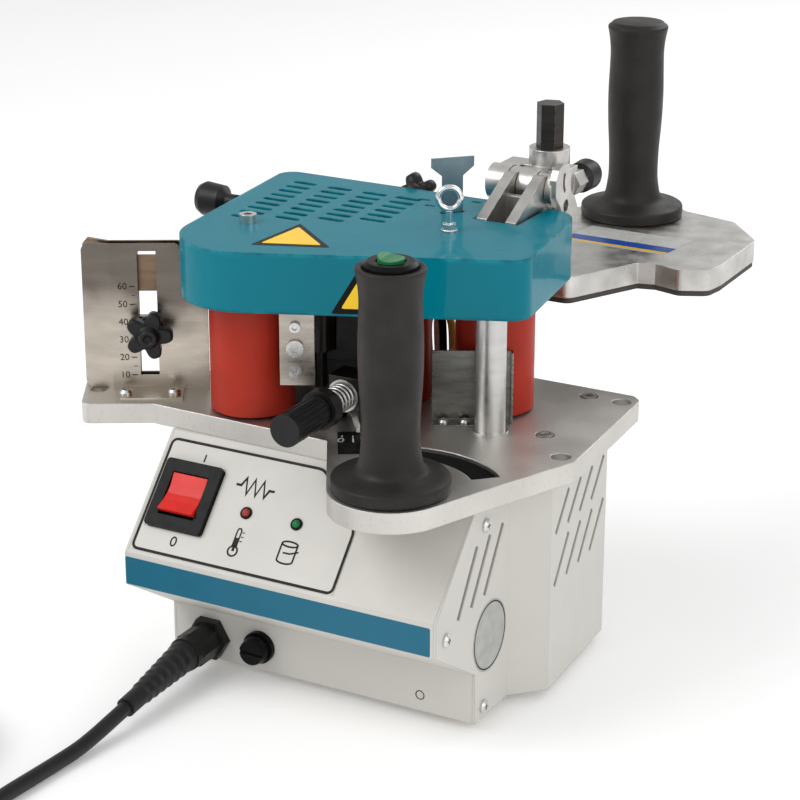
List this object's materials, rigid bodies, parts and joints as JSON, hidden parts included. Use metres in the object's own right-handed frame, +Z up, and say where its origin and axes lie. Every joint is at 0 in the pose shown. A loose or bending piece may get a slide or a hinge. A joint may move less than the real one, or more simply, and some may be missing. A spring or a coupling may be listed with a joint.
{
  "type": "edge banding machine",
  "caption": "Portable edge banding machine: sheet housing, deck with two red rollers and a band guide, teal roller cover, two dark grips and a tilting support shoe.",
  "frame": {"origin": "on the surface under the feet, at the middle of the machine footprint without its cord", "axes": "+Z up, +X to the right of the operator, +Y away from the operator, towards the support shoe"},
  "size_m": [0.3735, 0.5533, 0.3145],
  "materials": {
    "housing_paint": "light grey powder coat, fine texture",
    "bottom_paint": "grey powder coat",
    "deck_aluminium": "machined, brushed edges",
    "foot_rubber": "cream rubber",
    "post_steel": "turned",
    "screw_zinc": "zinc plated",
    "panel_film": "printed film",
    "switch_black": "satin black",
    "rocker_red": "red, lit",
    "lens_plastic": "coloured lenses",
    "fuse_black": "black",
    "fuse_cap_black": "black",
    "grip_rubber": "soft dark grey",
    "core_steel": "turned",
    "grip_switch_black": "black",
    "rocker_green": "green",
    "pillar_steel": "turned, bright",
    "upper_aluminium": "milled",
    "cover_teal": "teal enamel",
    "eyebolt_chrome": "polished",
    "pot_black": "black non-stick coat",
    "gate_steel": "blued steel",
    "glue_roller_steel": "fluted, glue-stained",
    "roller_steel": "turned",
    "roller_red": "red silicone rubber",
    "motor_paint": "dark grey",
    "pinion_brass": "cut teeth",
    "board_green": "green board",
    "guard_steel": "sheet",
    "shear_steel": "sheet",
    "knob_black": "knurled black",
    "spring_steel": "spring wire",
    "block_iron": "blackened",
    "lever_white": "white",
    "dial_black": "printed black",
    "guide_steel": "stainless sheet",
    "guide_back_steel": "stainless sheet, heat tinted",
    "stop_steel": "milled",
    "arm_aluminium": "cast, milled faces",
    "rod_steel": "dark drawn bar",
    "shoe_aluminium": "cast, milled top",
    "pad_rubber": "dark brown",
    "gland_black": "black nylon",
    "relief_black": "soft black",
    "cord_black": "black sheath",
    "plug_black": "moulded black"
  },
  "bodies": {
    "machine": {"body_shell": "housing_paint", "front_cover": "housing_paint", "bottom_cover": "bottom_paint", "base_plate": "deck_aluminium", "rubber_feet": "foot_rubber", "deck_posts": "post_steel", "housing_screws": "screw_zinc", "panel_label": "panel_film", "switch_bezel": "switch_black", "indicator_lenses": "lens_plastic", "fuse_holder": "fuse_black", "front_grip": "grip_rubber", "front_grip_core": "core_steel", "grip_switch_bezel": "grip_switch_black", "pillars": "pillar_steel", "upper_plate": "upper_aluminium", "top_cover": "cover_teal", "eyebolt": "eyebolt_chrome", "glue_pot": "pot_black", "gear_motor": "motor_paint", "control_board": "board_green", "roller_guard": "guard_steel", "shear_bracket": "shear_steel", "cap_screws": "screw_zinc", "adjuster_spring": "spring_steel", "adjuster_block": "block_iron", "dial_plate": "dial_black", "guide_front_plate": "guide_steel", "guide_back_plate": "guide_back_steel", "guide_screws": "screw_zinc", "arm_bracket": "arm_aluminium", "cable_gland": "gland_black", "strain_relief": "relief_black", "mains_cord": "cord_black", "cord_coil": "cord_black", "mains_plug": "plug_black"},
    "feed_roller": {"feed_roller_core": "roller_steel", "feed_roller_sleeve": "roller_red"},
    "glue_roller": {"glue_roller": "glue_roller_steel"},
    "motor_pinion": {"motor_pinion": "pinion_brass"},
    "press_roller": {"press_roller_core": "roller_steel", "press_roller_sleeve": "roller_red"},
    "idler_roller": {"idler_roller": "roller_red"},
    "power_rocker": {"power_rocker": "rocker_red"},
    "grip_rocker": {"grip_rocker": "rocker_green"},
    "height_stop": {"height_stop": "stop_steel"},
    "guide_knob": {"guide_knob": "knob_black"},
    "adjuster_knob": {"adjuster_knob": "knob_black"},
    "flow_lever": {"flow_lever": "lever_white"},
    "glue_gate": {"glue_gate": "gate_steel"},
    "arm": {"arm_block": "arm_aluminium"},
    "clamp_knob": {"clamp_knob": "knob_black"},
    "shoe": {"hex_rod": "rod_steel", "shoe_plate": "shoe_aluminium", "shoe_pad": "pad_rubber", "rear_grip": "grip_rubber", "rear_grip_core": "core_steel"},
    "fuse_cap": {"fuse_cap": "fuse_cap_black"},
    "side_knob": {"side_knob": "knob_black"},
    "rear_knob": {"rear_knob": "knob_black"}
  },
  "joints": [
    {"name": "feed_spin", "type": "hinge", "parent": "machine", "child": "feed_roller", "pos_m": [-0.04165, -0.09765, 0.175], "axis": [0, 0, 1], "continuous": true},
    {"name": "glue_spin", "type": "hinge", "parent": "machine", "child": "glue_roller", "pos_m": [-0.02842, -0.05151, 0.175], "axis": [0, 0, 1], "continuous": true},
    {"name": "pinion_spin", "type": "hinge", "parent": "machine", "child": "motor_pinion", "pos_m": [-0.00029, -0.10494, 0.111], "axis": [0, 0, 1], "continuous": true},
    {"name": "press_spin", "type": "hinge", "parent": "machine", "child": "press_roller", "pos_m": [0.07035, -0.03595, 0.175], "axis": [0, 0, 1], "continuous": true},
    {"name": "idler_spin", "type": "hinge", "parent": "machine", "child": "idler_roller", "pos_m": [0.02555, -0.04795, 0.175], "axis": [0, 0, 1], "continuous": true},
    {"name": "power_switch", "type": "hinge", "parent": "machine", "child": "power_rocker", "pos_m": [-0.05335, -0.14708, 0.10577], "axis": [1, 0, 0], "range_deg": [0, 16]},
    {"name": "grip_switch", "type": "hinge", "parent": "machine", "child": "grip_rocker", "pos_m": [0.07755, -0.16245, 0.258], "axis": [0, 1, 0], "range_deg": [-12, 0]},
    {"name": "stop_height", "type": "slide", "parent": "machine", "child": "height_stop", "axis": [0, 0, 1], "range_m": [-0.016, 0.036]},
    {"name": "stop_knob_turn", "type": "hinge", "parent": "height_stop", "child": "guide_knob", "pos_m": [-0.09836, -0.11014, 0.178], "axis": [0.5, -0.866, 0], "range_deg": [-360, 360]},
    {"name": "pressure_turn", "type": "hinge", "parent": "machine", "child": "adjuster_knob", "pos_m": [0.01405, -0.13095, 0.159], "axis": [0, 1, 0], "range_deg": [-720, 720]},
    {"name": "flow_turn", "type": "hinge", "parent": "machine", "child": "flow_lever", "pos_m": [0.00755, -0.07895, 0.145], "axis": [0, 0, 1], "range_deg": [-6, 14]},
    {"name": "gate_lift", "type": "slide", "parent": "machine", "child": "glue_gate", "axis": [0, 0, 1], "range_m": [0, 0.01]},
    {"name": "arm_tilt", "type": "hinge", "parent": "machine", "child": "arm", "pos_m": [0.06105, 0.02505, 0.248], "axis": [1, 0, 0], "range_deg": [0, 30]},
    {"name": "clamp_turn", "type": "hinge", "parent": "arm", "child": "clamp_knob", "pos_m": [0.07355, 0.05605, 0.246], "axis": [0, 1, 0], "range_deg": [-360, 360]},
    {"name": "shoe_height", "type": "slide", "parent": "arm", "child": "shoe", "axis": [0, 0, 1], "range_m": [-0.018, 0.018]},
    {"name": "fuse_turn", "type": "hinge", "parent": "machine", "child": "fuse_cap", "pos_m": [-0.02145, -0.13095, 0.019], "axis": [0, 1, 0], "range_deg": [0, 90]},
    {"name": "side_knob_turn", "type": "hinge", "parent": "machine", "child": "side_knob", "pos_m": [-0.09245, -0.03295, 0.232], "axis": [1, 0, 0], "range_deg": [-360, 360]},
    {"name": "rear_knob_turn", "type": "hinge", "parent": "machine", "child": "rear_knob", "pos_m": [-0.01095, 0.02405, 0.233], "axis": [0, 1, 0], "range_deg": [-360, 360]}
  ],
  "couplings": [
    {"joint": "glue_spin", "follows": "feed_spin", "ratio": -1.6667},
    {"joint": "pinion_spin", "follows": "feed_spin", "ratio": -2.5}
  ]
}
